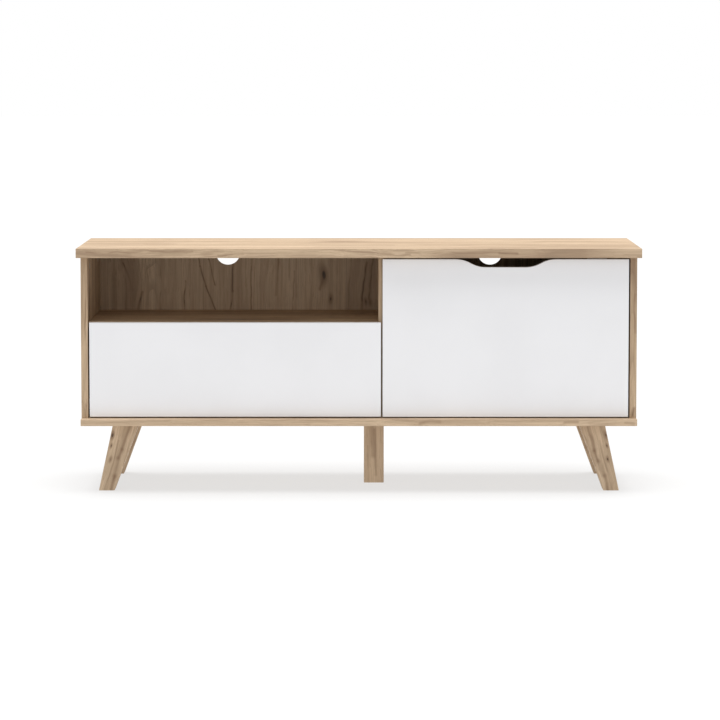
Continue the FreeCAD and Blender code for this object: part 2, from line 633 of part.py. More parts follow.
def flap_hinges():
    """Two hinges whose axis lies inside the flap, near its front and its bottom edge."""
    base_screws, leaf_screws, pins = [], [], []
    for side, x in hinge_centres().items():
        pin_start = (x + " - pin_half", AXIS_Y, AXIS_Z)
        arm_start = (x + " - hinge_arm / 2", AXIS_Y, AXIS_Z)
        pins.append(rod(side + "_hinge_pin", pin_start, "+x", "pin_radius", "2 * pin_half"))
        bores.append(rod(side + "_knuckle_bore", arm_start, "+x", "pin_radius + clearance", "hinge_arm"))
        riser = AXIS_Y + " + hinge_back"
        outline = [
            (AXIS_Y, AXIS_Z + " - hinge_sheet / 2"),
            (riser + " - hinge_sheet", AXIS_Z + " - hinge_sheet / 2"),
            (riser + " - hinge_sheet", FLOOR), (riser + " + hinge_foot", FLOOR),
            (riser + " + hinge_foot", FLOOR + " + foot_sheet"), (riser, FLOOR + " + foot_sheet"),
            (riser, AXIS_Z + " + hinge_sheet / 2"), (AXIS_Y, AXIS_Z + " + hinge_sheet / 2"),
        ]
        arm = plate(side + "_hinge_arm", "x", x + " - hinge_arm / 2", "hinge_arm", outline)
        knuckle = rod(side + "_knuckle", arm_start, "+x", "knuckle_radius", "hinge_arm")
        foot = box(side + "_hinge_foot", (x + " - hinge_foot_wide / 2", riser + " + hinge_foot / 3", FLOOR),
                   (x + " + hinge_foot_wide / 2", riser + " + hinge_foot", FLOOR + " + foot_sheet"))
        for end, sign in enumerate("-+"):
            start = ("%s %s foot_screw" % (x, sign), riser + " + 2 * hinge_foot / 3",
                     FLOOR + " + foot_sheet")
            base_screws.append(fitting_screw("%s_foot_screw_%d" % (side, end), start, "-z"))
            start = ("%s %s leaf_screw" % (x, sign), FRONT_BACK + " + leaf_sheet",
                     AXIS_Z + " + leaf_foot + leaf_height / 2")
            leaf_screws.append(fitting_screw("%s_leaf_screw_%d" % (side, end), start, "-y"))
        bored(side + "_hinge_base", fuse(side + "_hinge_base_blank", arm, knuckle, foot))
        leaf_low = AXIS_Z + " + leaf_foot"
        leaf_face = FRONT_BACK + " + leaf_sheet"
        sheet_plate = box(side + "_leaf_plate", (x + " - leaf_half", FRONT_BACK, leaf_low),
                          (x + " + leaf_half", leaf_face, leaf_low + " + leaf_height"))
        ears = []
        for end, low in enumerate(("- hinge_arm / 2 - ear_gap - ear_sheet", "+ hinge_arm / 2 + ear_gap")):
            ears.append(box("%s_leaf_ear_%d" % (side, end),
                            ("%s %s" % (x, low), AXIS_Y + " - ear_reach", AXIS_Z + " - ear_reach"),
                            ("%s %s + ear_sheet" % (x, low), leaf_face, AXIS_Z + " + ear_top")))
        ear_bore = rod(side + "_ear_bore", pin_start, "+x", "pin_radius + pin_play", "2 * pin_half")
        leaf = cut(side + "_leaf_blank", fuse(side + "_leaf_solid", sheet_plate, *ears), [ear_bore])
        bored(side + "_hinge_leaf", leaf)
        slot_low = (x + " - slot_half", FRONT_BACK + " - slot_depth", FRONTS_BOTTOM + " - overcut")
        slot_high = (x + " + slot_half", FRONT_BACK + " + overcut", FRONTS_BOTTOM + " + slot_height")
        bores.append(box(side + "_flap_slot", slot_low, slot_high))
    node(group("hinge_pins", pins))
    return base_screws, leaf_screws


def stay_arm(label, plane, length, start, end):
    """A flat bar with round ends and a rivet hole at each end, laid from start to end."""
    outline = [("-stay_half", "0", "stay_half"), ("0", "-stay_half", "stay_half"), ("stay_half", "0"),
               ("stay_half", length, "stay_half"), ("0", "%s + stay_half" % length, "stay_half"),
               ("-stay_half", length)]
    holes = [(("0", "0"), "rivet_bore"), (("0", length), "rivet_bore")]
    arm = plate(label, "x", "0", "stay_sheet", outline, holes)
    run = Vector(0, value(end[0]) - value(start[0]), value(end[1]) - value(start[1]))
    arm.Placement = Placement(Vector(0, 0, 0), Rotation(Vector(0, 0, 1), run))
    place(arm, plane, *start)
    return arm


def flap_stay():
    """A folding stay at the right-hand end. Its two arms, the flap and the side panel make a
    parallelogram, so the upper arm turns with the flap and the lower arm keeps its direction."""
    door_pivot = (AXIS_Y + " + stay_door_out", AXIS_Z + " + stay_door_up")
    elbow = (STAY_A[0] + " + stay_door_out", STAY_A[1] + " + stay_door_up")
    upper_length = "%.4f" % math.hypot(value("stay_door_out"), value("stay_door_up"))
    lower_length = "%.4f" % math.hypot(value("stay_out"), value("stay_up"))
    wall = BAY_END
    plate_top = STAY_A[1] + " + stay_plate_height - stay_plate_half"
    side_plate = box("stay_side_plate",
                     (wall + " - stay_sheet", STAY_A[0] + " - stay_plate_half",
                      STAY_A[1] + " - stay_plate_half"),
                     (wall, STAY_A[0] + " + stay_plate_half", plate_top))
    reach = "upper_arm_plane + rivet_play - stay_sheet"
    rivet = rod("stay_side_rivet", (wall + " - stay_sheet", *STAY_A), "-x", "rivet_radius", reach)
    head = rod("stay_side_rivet_head", ("%s - stay_sheet - (%s)" % (wall, reach), *STAY_A), "-x",
               "rivet_head", "rivet_head_height")
    side_screws = []
    for end, sign in enumerate("-+"):
        start = (wall + " - stay_sheet", "%s %s stay_plate_half / 2" % (STAY_A[0], sign),
                 plate_top + " - 2 * rivet_head")
        side_screws.append(fitting_screw("stay_side_screw_%d" % end, start, "+x"))
    bored("stay_cabinet_bracket", fuse("stay_cabinet_blank", side_plate, rivet, head))

    upper_bar = stay_arm("stay_upper_bar", wall + " - upper_arm_plane", upper_length, STAY_A, elbow)
    elbow_face = wall + " - upper_arm_plane"
    elbow_reach = "lower_arm_plane - upper_arm_plane + rivet_play"
    elbow_rivet = rod("stay_elbow_rivet", (elbow_face + " + stay_sheet", *elbow), "-x", "rivet_bore",
                      "stay_sheet")
    elbow_pin = rod("stay_elbow_pin", (elbow_face, *elbow), "-x", "rivet_radius", elbow_reach)
    elbow_head = rod("stay_elbow_head", ("%s - (%s)" % (elbow_face, elbow_reach), *elbow), "-x",
                     "rivet_head", "rivet_head_height")
    node(fuse("stay_upper_arm", upper_bar, elbow_rivet, elbow_pin, elbow_head))
    node(stay_arm("stay_lower_arm", wall + " - lower_arm_plane", lower_length, elbow, door_pivot))

    door_face = wall + " - door_plate_plane + stay_sheet"
    flange = box("stay_door_flange",
                 (door_face + " - stay_flange", FRONT_BACK, door_pivot[1] + " - stay_plate_half"),
                 (door_face, FRONT_BACK + " + stay_sheet", door_pivot[1] + " + stay_plate_half"))
    tab = box("stay_door_tab",
              (door_face + " - stay_sheet", FRONT_BACK, door_pivot[1] + " - stay_half - tab_margin"),
              (door_face, door_pivot[0] + " + stay_half", door_pivot[1] + " + stay_half + tab_margin"))
    pin_reach = "door_plate_plane - stay_sheet - lower_arm_plane + stay_sheet + rivet_play"
    door_pin = rod("stay_door_pin", (door_face, *door_pivot), "+x", "rivet_radius", pin_reach)
    door_head = rod("stay_door_pin_head", ("%s + (%s)" % (door_face, pin_reach), *door_pivot), "+x",
                    "rivet_head", "rivet_head_height")
    door_screws = []
    for end, sign in enumerate("-+"):
        start = (door_face + " - stay_flange / 2 - stay_sheet", FRONT_BACK + " + stay_sheet",
                 "%s %s 3 * stay_plate_half / 5" % (door_pivot[1], sign))
        door_screws.append(fitting_screw("stay_door_screw_%d" % end, start, "-y"))
    bored("stay_door_bracket", fuse("stay_door_blank", flange, tab, door_pin, door_head))
    return side_screws, door_screws


def magnetic_catch():
    face = FRONT_BACK + " + catch_sheet + catch_gap"
    block = box("catch_block_solid",
                ("catch_middle - catch_width / 2", face, UNDER_TOP + " - catch_block"),
                ("catch_middle + catch_width / 2", face + " + catch_block", UNDER_TOP))
    reach = "(catch_width / 2 + catch_ear)"
    ears = box("catch_ears",
               ("catch_middle - " + reach, face + " + catch_ear_sheet", UNDER_TOP + " - catch_ear_sheet"),
               ("catch_middle + " + reach, face + " + catch_block", UNDER_TOP))
    screws = []
    for end, sign in enumerate("-+"):
        start = ("catch_middle %s (catch_width / 2 + catch_ear / 2)" % sign,
                 face + " + (catch_ear_sheet + catch_block) / 2", UNDER_TOP + " - catch_ear_sheet")
        screws.append(fitting_screw("catch_screw_%d" % end, start, "+z"))
    bored("magnetic_catch", fuse("magnetic_catch_blank", block, ears))
    brim = FLAP_TOP + " - catch_plate_drop"
    level = brim + " - catch_plate_height / 2"
    plate_face = FRONT_BACK + " + catch_sheet"
    strike_screw = fastener("catch_strike_screw", ("catch_middle", plate_face, level), "-y",
                            "screw_radius", "screw_length", "screw_head", "catch_sheet / 2")
    strike = box("catch_strike_blank",
                 ("catch_middle - catch_plate_width / 2", FRONT_BACK, brim + " - catch_plate_height"),
                 ("catch_middle + catch_plate_width / 2", plate_face, brim))
    bored("catch_strike_plate", strike)
    return screws, strike_screw


def flap():
    """The white flap, with a soft wave cut in its top edge to open it by."""
    middle = "(%s + %s) / 2" % (FLAP_LEFT, FLAP_RIGHT)
    bend = "(notch_run * notch_run + notch_depth * notch_depth) / (4 * notch_depth)"
    outer = "notch_flat / 2 + notch_run"
    halfway = "notch_flat / 2 + notch_run / 2"
    mid_level = FLAP_TOP + " - notch_depth / 2"
    low_level = FLAP_TOP + " - notch_depth"
    outline = [
        (FLAP_LEFT, FRONTS_BOTTOM), (FLAP_RIGHT, FRONTS_BOTTOM), (FLAP_RIGHT, FLAP_TOP),
        ("%s + %s" % (middle, outer), FLAP_TOP, bend),
        ("%s + %s" % (middle, halfway), mid_level, "-(%s)" % bend),
        ("%s + notch_flat / 2" % middle, low_level),
        ("%s - notch_flat / 2" % middle, low_level, "-(%s)" % bend),
        ("%s - (%s)" % (middle, halfway), mid_level, bend),
        ("%s - (%s)" % (middle, outer), FLAP_TOP),
        (FLAP_LEFT, FLAP_TOP),
    ]
    bored("flap_door", plate("flap_door_blank", "y", FRONT, "board", outline))


def check_pieces():
    """Stop if any object of the document failed, or any piece is empty or broken."""
    for thing in doc.Objects:
        if "Invalid" in thing.State or "Error" in thing.State:
            raise RuntimeError("%s failed: %s" % (thing.Label, thing.State))
    for piece in nodes:
        if piece.Shape.isNull() or not piece.Shape.isValid() or not piece.Shape.Solids:
            raise RuntimeError("%s has no valid solid" % piece.Label)


def write_pieces():
    os.makedirs("parts", exist_ok=True)
    for piece in nodes:
        piece.Shape.exportStep("parts/%s.step" % piece.Label)
        print("%-24s %3d solids %12.1f mm3" % (piece.Label, len(piece.Shape.Solids), piece.Shape.Volume))


fill_sheet()
carcass_fasteners()
leg_fasteners()
back_nails()
rail_screws, track_screws = runners()
drawer_fasteners()
latch_screws, latch_strike_screw = push_latch()
foot_screws, leaf_screws = flap_hinges()
stay_side_screws, stay_door_screws = flap_stay()
catch_screws, catch_strike_screw = magnetic_catch()
node(group("cabinet_fitting_screws",
           rail_screws + latch_screws + foot_screws + stay_side_screws + catch_screws))
node(group("drawer_fitting_screws", track_screws + [latch_strike_screw]))
node(group("flap_fitting_screws", leaf_screws + stay_door_screws + [catch_strike_screw]))
carcass_boards()
back()
legs()
drawer_boards()
flap()
doc.recompute()
check_pieces()
write_pieces()
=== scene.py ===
import json
import math

import bmesh
import bpy
from mathutils import Euler, Matrix, Vector


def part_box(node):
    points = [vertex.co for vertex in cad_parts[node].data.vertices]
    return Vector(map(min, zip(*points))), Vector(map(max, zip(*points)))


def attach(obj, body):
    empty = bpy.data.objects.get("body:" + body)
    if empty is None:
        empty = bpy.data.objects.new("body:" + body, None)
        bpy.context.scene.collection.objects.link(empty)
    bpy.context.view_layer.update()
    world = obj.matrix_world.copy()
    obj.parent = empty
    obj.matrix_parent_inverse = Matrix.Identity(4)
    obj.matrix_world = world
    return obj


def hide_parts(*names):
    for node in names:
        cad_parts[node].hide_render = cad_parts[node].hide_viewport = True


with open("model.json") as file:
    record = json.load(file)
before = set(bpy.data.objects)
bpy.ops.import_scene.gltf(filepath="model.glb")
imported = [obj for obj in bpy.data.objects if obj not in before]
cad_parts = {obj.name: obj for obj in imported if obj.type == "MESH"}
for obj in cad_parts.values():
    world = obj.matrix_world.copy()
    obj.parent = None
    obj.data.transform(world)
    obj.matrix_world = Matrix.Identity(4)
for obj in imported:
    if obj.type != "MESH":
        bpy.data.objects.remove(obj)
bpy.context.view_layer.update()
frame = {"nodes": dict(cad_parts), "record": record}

MM = 0.001
BODY_OF = {node: body for body, nodes in frame["record"]["behaviour"]["bodies"].items() for node in nodes}
SLOT_OF = {part["node"]: part["material_slot"] for part in frame["record"]["subparts"]}

# Colours are linear. The oak runs from pale sapwood to brown heart streaks.
OAK_LIGHT = (0.715, 0.548, 0.380)
OAK_PALE = (0.610, 0.455, 0.302)
OAK_MID = (0.470, 0.336, 0.210)
OAK_DARK = (0.270, 0.180, 0.108)
OAK_BROWN = (0.200, 0.112, 0.060)
OAK_VEIN = (0.075, 0.042, 0.024)
OAK_KNOT = (0.030, 0.017, 0.011)
FRONT_WHITE = (0.845, 0.845, 0.860)
DRAWER_WHITE = (0.70, 0.68, 0.64)
DRAWER_BASE_WHITE = (0.74, 0.72, 0.68)
FIBRE_LIGHT = (0.300, 0.190, 0.105)
FIBRE_DARK = (0.235, 0.145, 0.078)
FIBRE_FELT = (0.130, 0.078, 0.042)
BEECH_PALE = (0.620, 0.450, 0.280)
BEECH_FLECK = (0.440, 0.290, 0.165)
AXES = {"x": 0, "y": 1, "z": 2}

# Lights and floor: the room's and the floor's strengths, and each sun's, with its width and tilt.
ROOM_LIGHT = 0.45
OVERHEAD_LIGHT = 4.2
OVERHEAD_WIDTH = 50.0
FRONT_LIGHT = 0.46
FRONT_WIDTH = 60.0
FRONT_TILT = 72.0
FLOOR_HALF = 40.0
FLOOR_SHADE = 0.22
FLOOR_GLOW = 0.66

# Camera: a long lens in front of the stand, a little above it and looking slightly down.
SENSOR = 36.0
LENS = 148.19
SHIFT = -0.12
EYE = (0.0026, -7.139, 1.0419)
LOOK_DOWN = 4.288

# Shapes: points nearer than this are one, the widths of the eased edges, how far a leg's foot
# stands outside its top, and the width of the planks in the back's decor.
SAME_POINT = 0.00001
BOARD_EASE = 0.8 * MM
LEG_EASE = 1.2 * MM
DRAWER_EASE = 0.5 * MM
LEG_SPLAY = 0.047
PLANK = 0.118


# ---------------------------------------------------------------- node materials

class Tree:
    """A material's node tree, with short calls for the nodes that the finishes use."""

    def __init__(self, name):
        self.material = bpy.data.materials.new(name)
        self.material.use_nodes = True
        self.tree = self.material.node_tree
        self.tree.nodes.clear()
        output = self.tree.nodes.new("ShaderNodeOutputMaterial")
        self.shader = self.tree.nodes.new("ShaderNodeBsdfPrincipled")
        self.join(self.shader.outputs["BSDF"], output.inputs["Surface"])

    def join(self, source, target):
        if isinstance(source, bpy.types.NodeSocket):
            self.tree.links.new(source, target)
        else:
            target.default_value = source

    def place(self, turn=(0.0, 0.0, 0.0), shift=(0.0, 0.0, 0.0), stretch=(1.0, 1.0, 1.0)):
        """Points of the piece at rest, turned, then moved and stretched."""
        coordinate = self.tree.nodes.new("ShaderNodeTexCoord").outputs["Object"]
        if any(turn):
            coordinate = self.mapped(coordinate, turn=turn)
        return self.mapped(coordinate, shift=shift, stretch=stretch)

    def mapped(self, vector, turn=(0.0, 0.0, 0.0), shift=(0.0, 0.0, 0.0), stretch=(1.0, 1.0, 1.0)):
        node = self.tree.nodes.new("ShaderNodeMapping")
        self.join(vector, node.inputs["Vector"])
        node.inputs["Location"].default_value = shift
        node.inputs["Rotation"].default_value = turn
        node.inputs["Scale"].default_value = stretch
        return node.outputs["Vector"]

    def noise(self, vector, scale=1.0, detail=2.0, roughness=0.5, distortion=0.0):
        node = self.tree.nodes.new("ShaderNodeTexNoise")
        self.join(vector, node.inputs["Vector"])
        for socket, size in (("Scale", scale), ("Detail", detail), ("Roughness", roughness),
                             ("Distortion", distortion)):
            node.inputs[socket].default_value = size
        return node.outputs["Fac"]

    def math(self, operation, first, second=0.0, third=0.0):
        node = self.tree.nodes.new("ShaderNodeMath")
        node.operation = operation
        for socket, source in zip(node.inputs, (first, second, third)):
            self.join(source, socket)
        return node.outputs["Value"]

    def vector_math(self, operation, first, second):
        node = self.tree.nodes.new("ShaderNodeVectorMath")
        node.operation = operation
        self.join(first, node.inputs[0])
        self.join(second, node.inputs[1])
        return node.outputs["Value" if operation in ("LENGTH", "DISTANCE", "DOT_PRODUCT") else "Vector"]

    def spread(self, source, low, high, out_low=0.0, out_high=1.0):
        """A smooth step: out_low where the source is under low, out_high where it is over high."""
        node = self.tree.nodes.new("ShaderNodeMapRange")
        node.interpolation_type = "SMOOTHSTEP"
        for socket, size in (("Value", source), ("From Min", low), ("From Max", high),
                             ("To Min", out_low), ("To Max", out_high)):
            self.join(size, node.inputs[socket])
        return node.outputs["Result"]

    def mix(self, factor, first, second, blend="MIX"):
        node = self.tree.nodes.new("ShaderNodeMix")
        node.data_type = "RGBA"
        node.blend_type = blend
        self.join(factor, node.inputs[0])
        for socket, colour in ((node.inputs[6], first), (node.inputs[7], second)):
            self.join(colour if isinstance(colour, bpy.types.NodeSocket) else (*colour, 1.0), socket)
        return node.outputs[2]

    def combine(self, x, y, z):
        node = self.tree.nodes.new("ShaderNodeCombineXYZ")
        for socket, source in zip(node.inputs, (x, y, z)):
            self.join(source, socket)
        return node.outputs["Vector"]

    def bump(self, height, depth, strength=1.0):
        node = self.tree.nodes.new("ShaderNodeBump")
        self.join(height, node.inputs["Height"])
        node.inputs["Distance"].default_value = depth
        node.inputs["Strength"].default_value = strength
        self.join(node.outputs["Normal"], self.shader.inputs["Normal"])

    def set(self, **values):
        for name, source in values.items():
            self.join(source, self.shader.inputs[name.replace("_", " ")])


def stretched(grain, along, across):
    """A scale vector: low along the grain and high across it, so that noise turns into streaks."""
    scales = [across, across, across]
    scales[AXES[grain]] = along
    return tuple(scales)


def near_line(tree, point, start, end):
    """How far a point is from the straight line between two places."""
    run = end - start
    out = tree.vector_math("SUBTRACT", point, start)
    along = tree.vector_math("DOT_PRODUCT", out, run / run.length_squared)
    share = tree.math("MINIMUM", tree.math("MAXIMUM", along, 0.0), 1.0)
    nearest = tree.vector_math("ADD", tree.vector_math("MULTIPLY", share, run), start)
    return tree.vector_math("DISTANCE", point, nearest)


def oak(name, grain, seed, turn=(0.0, 0.0, 0.0), planks=0.0, knots=(), marks=(), contrast=1.0, lift=0.0):
    """Light oak with its grain along one axis. Planks is the width of the boards that the decor
    shows side by side, or 0. A knot is (place, radius) and a mark, a crack or a brown streak in
    the wood, is (start, end, width, strength), all in the piece's rest frame. Contrast deepens
    the streaks, and lift lightens the wood before knots and marks are laid on it: mostly its own
    paler tone, and at the centre leg also painted light against the shade under the stand."""
    tree = Tree(name)
    spin = Euler(turn).to_matrix()
    rest = tree.place(turn=turn)
    base = tree.mapped(rest, shift=(seed * 1.37, seed * 2.11, seed * 0.73))

    # Slow bends of the grain: the points are pushed sideways before every streak layer.
    bend = tree.noise(tree.mapped(base, stretch=stretched(grain, 1.6, 5.0)), 1.0, 1.0)
    wobble = tree.noise(tree.mapped(base, stretch=stretched(grain, 17.0, 9.0)), 1.0, 1.0)
    push = tree.math("ADD", tree.math("MULTIPLY_ADD", bend, 0.055, -0.0275),
                     tree.math("MULTIPLY_ADD", wobble, 0.005, -0.0025))
    nudge = tree.math("MULTIPLY_ADD", wobble, 0.014, -0.007)
    pushes = [push, push, push]
    nudges = [nudge, nudge, nudge]
    pushes[AXES[grain]] = 0.0
    nudges[AXES[grain]] = 0.0
    wavy = tree.vector_math("ADD", base, tree.combine(*pushes))
    nudged = tree.vector_math("ADD", rest, tree.combine(*nudges))

    bands = tree.noise(tree.mapped(wavy, stretch=stretched(grain, 0.5, 15.0)), 1.0, 3.0, 0.55)
    streaks = tree.noise(tree.mapped(wavy, stretch=stretched(grain, 0.75, 62.0)), 1.0, 4.0, 0.64)
    lines = tree.noise(tree.mapped(wavy, stretch=stretched(grain, 1.5, 190.0)), 1.0, 3.0, 0.6)
    fibres = tree.noise(tree.mapped(wavy, stretch=stretched(grain, 9.0, 520.0)), 1.0, 2.0, 0.6)
    pores = tree.noise(tree.mapped(wavy, stretch=stretched(grain, 38.0, 1300.0)), 1.0, 1.0, 0.5)

    colour = tree.mix(tree.spread(bands, 0.36, 0.64), OAK_PALE, OAK_MID)
    colour = tree.mix(tree.spread(streaks, 0.46, 0.76, 0.0, 0.95 * contrast), colour, OAK_DARK)
    colour = tree.mix(tree.spread(streaks, 0.48, 0.26, 0.0, 0.7), colour, OAK_LIGHT)
    colour = tree.mix(tree.spread(lines, 0.50, 0.74, 0.0, 0.70 * contrast), colour, OAK_BROWN)
    colour = tree.mix(tree.spread(lines, 0.44, 0.26, 0.0, 0.5), colour, OAK_LIGHT)

    # Growth rings: level lines of a slow noise, strong where another noise lets them through.
    slow = tree.mapped(wavy, shift=(3.1, 5.7, 9.2), stretch=stretched(grain, 0.55, 9.0))
    heart = tree.noise(slow, 1.0, 2.0, 0.5)
    patches = tree.mapped(base, shift=(8.3, 1.9, 4.4), stretch=stretched(grain, 2.2, 6.0))
    where = tree.noise(patches, 1.0, 1.0)
    rings = tree.math("FRACT", tree.math("MULTIPLY", heart, 26.0))
    ring = tree.math("MULTIPLY", tree.spread(rings, 0.55, 0.98), tree.spread(rings, 1.0, 0.985))
    ring = tree.math("MULTIPLY", ring, tree.spread(where, 0.35, 0.65, 0.10, 0.55 * contrast))
    colour = tree.mix(ring, colour, OAK_DARK)

    # Heart streaks and cracks follow the one level line in the middle.
    off_line = tree.math("ABSOLUTE", tree.math("SUBTRACT", heart, 0.5))
    soft_line = tree.math("MULTIPLY", tree.spread(off_line, 0.045, 0.0), tree.spread(where, 0.46, 0.62))
    colour = tree.mix(tree.math("MULTIPLY", soft_line, 0.75 * contrast), colour, OAK_BROWN)
    crack = tree.math("MULTIPLY", tree.spread(off_line, 0.006, 0.001), tree.spread(where, 0.54, 0.64))
    colour = tree.mix(tree.math("MULTIPLY", crack, 0.8), colour, OAK_VEIN)

    if planks:
        across = next(axis for axis in "xyz" if axis != grain)
        apart = tree.tree.nodes.new("ShaderNodeSeparateXYZ")
        tree.join(base, apart.inputs[0])
        cells = tree.math("DIVIDE", apart.outputs[AXES[across]], planks)
        plank = tree.math("FLOOR", cells)
        shade = tree.noise(tree.combine(plank, plank, seed), 3.7, 0.0)
        colour = tree.mix(tree.spread(shade, 0.35, 0.65, 0.0, 0.45), colour, OAK_DARK)
        edge = tree.math("ABSOLUTE", tree.math("SUBTRACT", tree.math("FRACT", cells), 0.5))
        colour = tree.mix(tree.spread(edge, 0.485, 0.499, 0.0, 0.5), colour, OAK_VEIN)

    if lift:
        colour = tree.mix(lift, colour, OAK_LIGHT)

    for first, last, width, strength in marks:
        away = near_line(tree, nudged, spin @ Vector(first), spin @ Vector(last))
        ragged = tree.math("ADD", away, tree.math("MULTIPLY_ADD", streaks, width, -0.5 * width))
        colour = tree.mix(tree.spread(ragged, 2.6 * width, 0.0, 0.0, 0.75 * strength), colour, OAK_BROWN)
        if strength > 0.6:
            core = tree.spread(ragged, 0.55 * width, 0.1 * width, 0.0, strength ** 2)
            colour = tree.mix(core, colour, OAK_VEIN)

    for place, radius in knots:
        reach = stretched(grain, 0.42 / radius, 1.0 / radius)
        middle = Vector(size * scale for size, scale in zip(spin @ Vector(place), reach))
        away = tree.vector_math("DISTANCE", tree.mapped(nudged, stretch=reach), middle)
        ragged = tree.math("ADD", away, tree.math("MULTIPLY_ADD", streaks, 1.6, -0.8))
        colour = tree.mix(tree.spread(ragged, 3.6, 0.8, 0.0, 0.7), colour, OAK_BROWN)
        colour = tree.mix(tree.spread(ragged, 1.25, 0.5, 0.0, 0.9), colour, OAK_KNOT)

    colour = tree.mix(tree.spread(pores, 0.60, 0.72, 0.0, 0.42), colour, OAK_DARK)
    colour = tree.mix(tree.spread(fibres, 0.35, 0.75, 0.0, 0.30), colour, OAK_DARK)
    height = tree.math("SUBTRACT", tree.math("MULTIPLY", fibres, 0.5), tree.spread(pores, 0.58, 0.70))
    tree.set(Base_Color=colour, Roughness=tree.spread(streaks, 0.3, 0.8, 0.52, 0.66),
             Specular_IOR_Level=0.35)
    tree.bump(height, 0.00012, 0.55)
    return tree.material


def coated_white(name, colour, grit=0.00003, roughness=0.42):
    """A matt white coating with a faint orange-peel skin and a trace of uneven tone."""
    tree = Tree(name)
    base = tree.place()
    cloud = tree.noise(base, 5.0, 3.0)
    peel = tree.noise(base, 900.0, 2.0)
    dimmer = tuple(channel * 0.975 for channel in colour)
    tree.set(Base_Color=tree.mix(tree.spread(cloud, 0.35, 0.65), colour, dimmer),
             Roughness=tree.spread(peel, 0.3, 0.7, roughness - 0.03, roughness + 0.05),
             Specular_IOR_Level=0.35)
    tree.bump(peel, grit, 0.5)
    return tree.material


def fibreboard(name):
    """The raw brown back of thin hardboard: felted fibres, and the mesh print of the press."""
    tree = Tree(name)
    base = tree.place()
    cloud = tree.noise(base, 14.0, 4.0, 0.6)
    felt = tree.noise(tree.mapped(base, stretch=(1.0, 1.0, 0.35)), 700.0, 3.0, 0.7)
    colour = tree.mix(tree.spread(cloud, 0.3, 0.7), FIBRE_LIGHT, FIBRE_DARK)
    colour = tree.mix(tree.spread(felt, 0.45, 0.75, 0.0, 0.5), colour, FIBRE_FELT)
    tree.set(Base_Color=colour, Roughness=0.78, Specular_IOR_Level=0.3)
    tree.bump(felt, 0.0002, 0.5)
    return tree.material


def metal(name, colour, roughness):
    """Zinc plate: a fine crystalline mottle, and faint rolling lines along X."""
    tree = Tree(name)
    base = tree.place()
    spangle = tree.noise(base, 420.0, 3.0, 0.6)
    lines = tree.noise(tree.mapped(base, stretch=(60.0, 1800.0, 1800.0)), 1.0, 2.0)
    dull = tuple(channel * 0.78 for channel in colour)
    tree.set(Base_Color=tree.mix(tree.spread(spangle, 0.3, 0.7), colour, dull), Metallic=1.0,
             Roughness=tree.spread(spangle, 0.3, 0.7, roughness - 0.06, roughness + 0.08))
    tree.bump(lines, 0.00002, 0.25)
    return tree.material


def powder_coat(name, colour):
    tree = Tree(name)
    base = tree.place()
    peel = tree.noise(base, 1300.0, 2.0, 0.6)
    scuff = tree.noise(tree.mapped(base, stretch=(900.0, 6.0, 900.0)), 1.0, 2.0)
    worn = tuple(channel * 0.86 for channel in colour)
    tree.set(Base_Color=tree.mix(tree.spread(scuff, 0.55, 0.8), colour, worn),
             Roughness=tree.spread(peel, 0.3, 0.7, 0.34, 0.48), Specular_IOR_Level=0.5)
    tree.bump(peel, 0.00004, 0.5)
    return tree.material


def moulded(name, colour, roughness=0.45):
    """Moulded plastic with the fine spark-erosion texture of its tool."""
    tree = Tree(name)
    base = tree.place()
    spark = tree.noise(base, 1600.0, 2.0, 0.7)
    flow = tree.noise(base, 60.0, 2.0)
    deeper = tuple(channel * 0.92 for channel in colour)
    tree.set(Base_Color=tree.mix(tree.spread(flow, 0.3, 0.7), colour, deeper),
             Roughness=tree.spread(spark, 0.3, 0.7, roughness - 0.05, roughness + 0.08),
             Specular_IOR_Level=0.45)
    tree.bump(spark, 0.00004, 0.6)
    return tree.material


def beech(name):
    tree = Tree(name)
    base = tree.place()
    flecks = tree.noise(tree.mapped(base, stretch=(900.0, 900.0, 220.0)), 1.0, 2.0)
    colour = tree.mix(tree.spread(flecks, 0.4, 0.75), BEECH_PALE, BEECH_FLECK)
    tree.set(Base_Color=colour, Roughness=0.62, Specular_IOR_Level=0.3)
    tree.bump(flecks, 0.00008, 0.5)
    return tree.material


# ---------------------------------------------------------------- shapes

def solid_of(node):
    """A node's own solid as a clean mesh: corners merged and flat faces whole."""
    mesh = bmesh.new()
    mesh.from_mesh(frame["nodes"][node].data)
    bmesh.ops.remove_doubles(mesh, verts=mesh.verts, dist=SAME_POINT)
    bmesh.ops.dissolve_limit(mesh, angle_limit=math.radians(0.5), verts=mesh.verts, edges=mesh.edges)
    bmesh.ops.recalc_face_normals(mesh, faces=mesh.faces)
    return mesh


def sharp(edge, degrees=40.0):
    return len(edge.link_faces) == 2 and edge.calc_face_angle(0.0) > math.radians(degrees)


def long_sharp(mesh, length=0.012):
    """The edges a hand would feel: long and sharp, so not the rims of bores."""
    return [edge for edge in mesh.edges if sharp(edge) and edge.calc_length() > length]


def front_sharp(mesh):
    """Every sharp edge of the frontmost face, however short its pieces are."""
    front = min(vert.co.y for vert in mesh.verts)
    return [edge for edge in mesh.edges
            if sharp(edge, 25.0) and all(abs(vert.co.y - front) < SAME_POINT for vert in edge.verts)]


def ease(mesh, edges, width, segments=3):
    """Round edges off, and merge what then lies closer together than two thousandths of a millimetre."""
    bmesh.ops.bevel(mesh, geom=list(set(edges)), offset=width, offset_type="OFFSET", segments=segments,
                    profile=0.5, affect="EDGES", clamp_overlap=True)
    bmesh.ops.dissolve_degenerate(mesh, dist=0.002 * MM, edges=mesh.edges)


